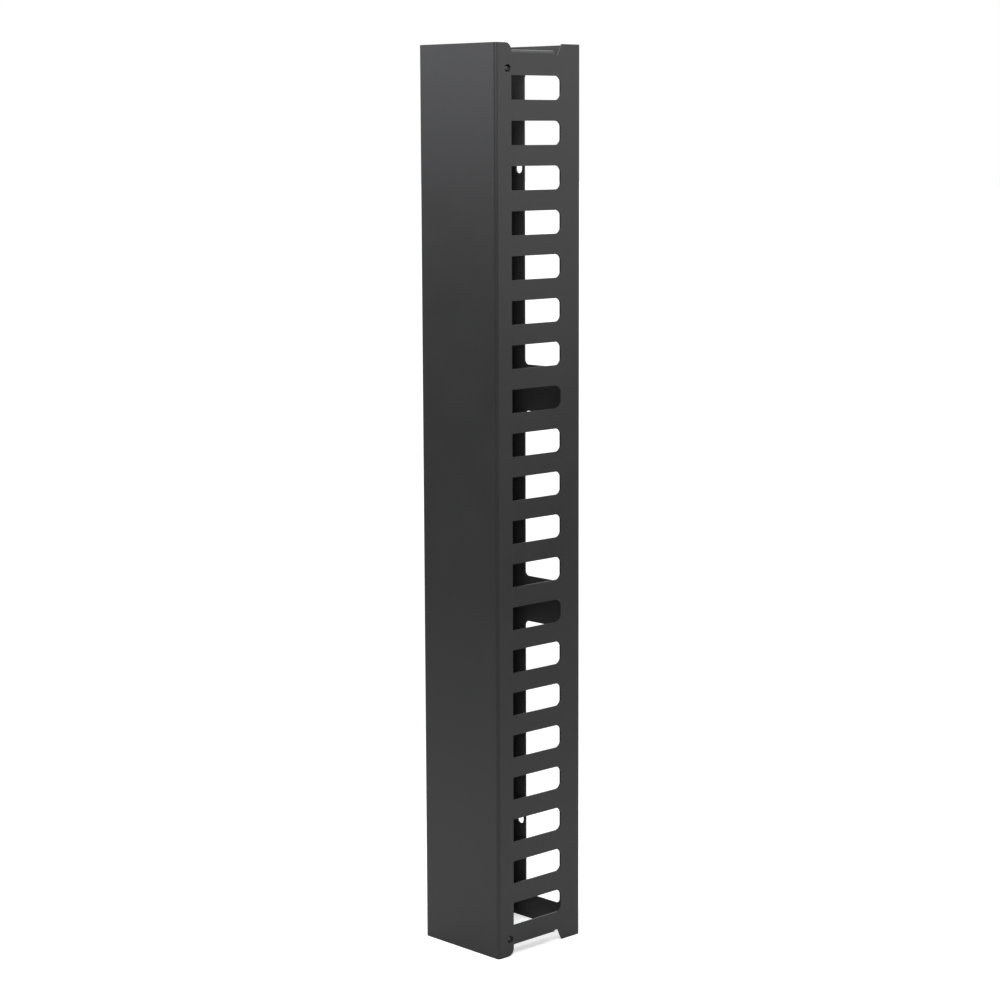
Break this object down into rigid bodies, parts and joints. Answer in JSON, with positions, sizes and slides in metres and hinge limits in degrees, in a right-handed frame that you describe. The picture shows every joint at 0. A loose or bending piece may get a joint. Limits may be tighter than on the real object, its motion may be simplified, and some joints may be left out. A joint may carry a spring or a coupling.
{
  "type": "vertical cable manager",
  "caption": "Vertical rack cable manager: a folded channel with slotted side panels and an open back, closed by a push-on cover that pulls off forwards.",
  "frame": {"origin": "middle of the lower end, on the surface that it stands on", "axes": "+Z along the length, upwards; +X to the right as seen from the cover's side; -Y out of the cover, +Y towards the rack"},
  "size_m": [0.1118, 0.1206, 0.9315],
  "materials": {
    "channel_paint": "satin black powder coat",
    "cover_paint": "satin black powder coat",
    "black_zinc": "turned, black zinc plated",
    "spring_wire": "drawn spring wire",
    "blackened_steel": "blackened and polished"
  },
  "bodies": {
    "frame": {"channel": "channel_paint", "catch_housing_lower_left": "black_zinc", "catch_housing_lower_right": "black_zinc", "catch_housing_upper_left": "black_zinc", "catch_housing_upper_right": "black_zinc", "end_cap_lower_left": "black_zinc", "end_cap_lower_right": "black_zinc", "end_cap_upper_left": "black_zinc", "end_cap_upper_right": "black_zinc", "spring_lower_left": "spring_wire", "spring_lower_right": "spring_wire", "spring_upper_left": "spring_wire", "spring_upper_right": "spring_wire"},
    "cover": {"cover": "cover_paint"},
    "plunger_lower_left": {"plunger_lower_left": "blackened_steel"},
    "plunger_lower_right": {"plunger_lower_right": "blackened_steel"},
    "plunger_upper_left": {"plunger_upper_left": "blackened_steel"},
    "plunger_upper_right": {"plunger_upper_right": "blackened_steel"}
  },
  "joints": [
    {"name": "cover_pull_off", "type": "slide", "parent": "frame", "child": "cover", "axis": [0, -1, 0], "range_m": [0, 0.06]},
    {"name": "plunger_lower_left_press", "type": "slide", "parent": "frame", "child": "plunger_lower_left", "axis": [1, 0, 0], "range_m": [-0.001, 0.0014], "stiffness_N_per_m": 400, "springref_m": -0.001, "deforming": ["spring_lower_left"]},
    {"name": "plunger_lower_right_press", "type": "slide", "parent": "frame", "child": "plunger_lower_right", "axis": [-1, 0, 0], "range_m": [-0.001, 0.0014], "stiffness_N_per_m": 400, "springref_m": -0.001, "deforming": ["spring_lower_right"]},
    {"name": "plunger_upper_left_press", "type": "slide", "parent": "frame", "child": "plunger_upper_left", "axis": [1, 0, 0], "range_m": [-0.001, 0.0014], "stiffness_N_per_m": 400, "springref_m": -0.001, "deforming": ["spring_upper_left"]},
    {"name": "plunger_upper_right_press", "type": "slide", "parent": "frame", "child": "plunger_upper_right", "axis": [-1, 0, 0], "range_m": [-0.001, 0.0014], "stiffness_N_per_m": 400, "springref_m": -0.001, "deforming": ["spring_upper_right"]}
  ]
}
